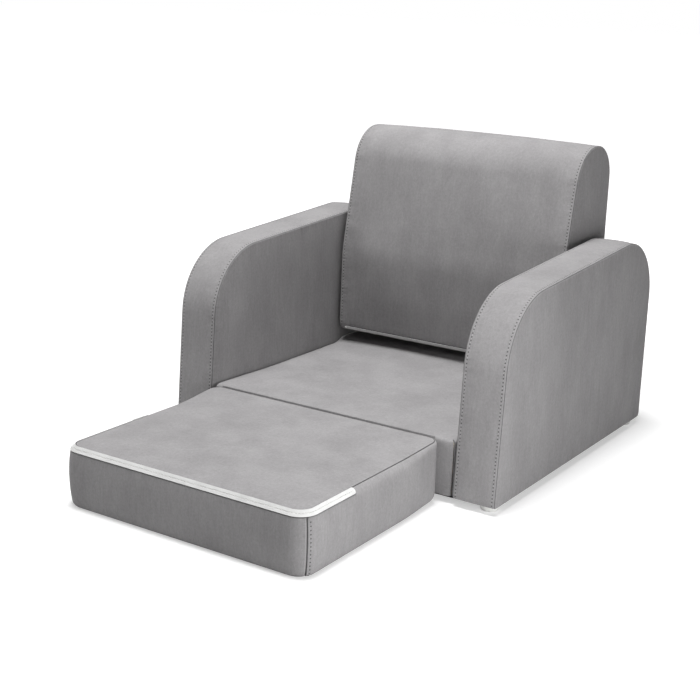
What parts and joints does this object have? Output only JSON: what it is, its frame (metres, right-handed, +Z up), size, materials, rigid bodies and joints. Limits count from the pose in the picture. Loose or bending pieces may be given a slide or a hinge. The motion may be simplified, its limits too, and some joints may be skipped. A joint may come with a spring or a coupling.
{
  "type": "childrens sofa",
  "caption": "Small upholstered armchair for a child with rounded arms, a sloped backrest and a padded footrest that folds out in front of the seat to make a lounger.",
  "frame": {"origin": "on the floor, in the middle of the box round the chair with its footrest folded out", "axes": "+X to the sitter's left as seen from the front of the chair (the right of the front view), +Y from the footrest to the back of the chair, +Z up"},
  "size_m": [0.53, 0.7844, 0.43],
  "materials": {
    "fabric": "matte",
    "zip_tape": "matte",
    "foam": "matte",
    "lining": "matte",
    "plywood": "matte",
    "pine": "matte",
    "plastic": "satin",
    "steel": "satin"
  },
  "bodies": {
    "sofa": {"arm_left_board": "plywood", "arm_left_batten": "pine", "arm_left_foam": "foam", "arm_left_cover_inner": "fabric", "arm_left_cover_outer": "fabric", "arm_left_cover_band": "fabric", "arm_right_board": "plywood", "arm_right_batten": "pine", "arm_right_foam": "foam", "arm_right_cover_inner": "fabric", "arm_right_cover_outer": "fabric", "arm_right_cover_band": "fabric", "foot_front_left": "plastic", "foot_rear_left": "plastic", "foot_front_right": "plastic", "foot_rear_right": "plastic", "foot_screw_front_left": "steel", "foot_screw_rear_left": "steel", "foot_screw_front_right": "steel", "foot_screw_rear_right": "steel", "base_bolt_front_left": "steel", "base_bolt_rear_left": "steel", "base_bolt_front_right": "steel", "base_bolt_rear_right": "steel", "base_tee_nut_front_left": "steel", "base_tee_nut_rear_left": "steel", "base_tee_nut_front_right": "steel", "base_tee_nut_rear_right": "steel", "backrest_bolt_lower_left": "steel", "backrest_bolt_upper_left": "steel", "backrest_bolt_lower_right": "steel", "backrest_bolt_upper_right": "steel", "backrest_tee_nut_lower_left": "steel", "backrest_tee_nut_upper_left": "steel", "backrest_tee_nut_lower_right": "steel", "backrest_tee_nut_upper_right": "steel", "dust_cover": "lining", "base_rail_front": "pine", "base_rail_rear": "pine", "base_rail_left": "pine", "base_rail_right": "pine", "seat_deck": "plywood", "seat_foam": "foam", "seat_cover": "fabric", "hinge_strip": "fabric", "backrest_board": "plywood", "backrest_stile_left": "pine", "backrest_stile_right": "pine", "backrest_foam": "foam", "backrest_cover_band": "fabric", "backrest_cover_left": "fabric", "backrest_cover_right": "fabric", "backrest_zip": "zip_tape"},
    "footrest": {"footrest_foam": "foam", "footrest_cover_top": "fabric", "footrest_cover_boxing": "fabric", "footrest_zip": "zip_tape"},
    "footrest_slider": {"footrest_zip_slider": "plastic"},
    "backrest_slider": {"backrest_zip_slider": "plastic"}
  },
  "joints": [
    {"name": "footrest_fold", "type": "hinge", "parent": "sofa", "child": "footrest", "pos_m": [0, -0.0852, 0.0884], "axis": [-1, 0, 0], "range_deg": [0, 180]},
    {"name": "footrest_zip_slide", "type": "slide", "parent": "footrest", "child": "footrest_slider", "axis": [0, -1, 0], "range_m": [0, 0.09]},
    {"name": "backrest_zip_slide", "type": "slide", "parent": "sofa", "child": "backrest_slider", "axis": [-1, 0, 0], "range_m": [0, 0.32]}
  ]
}
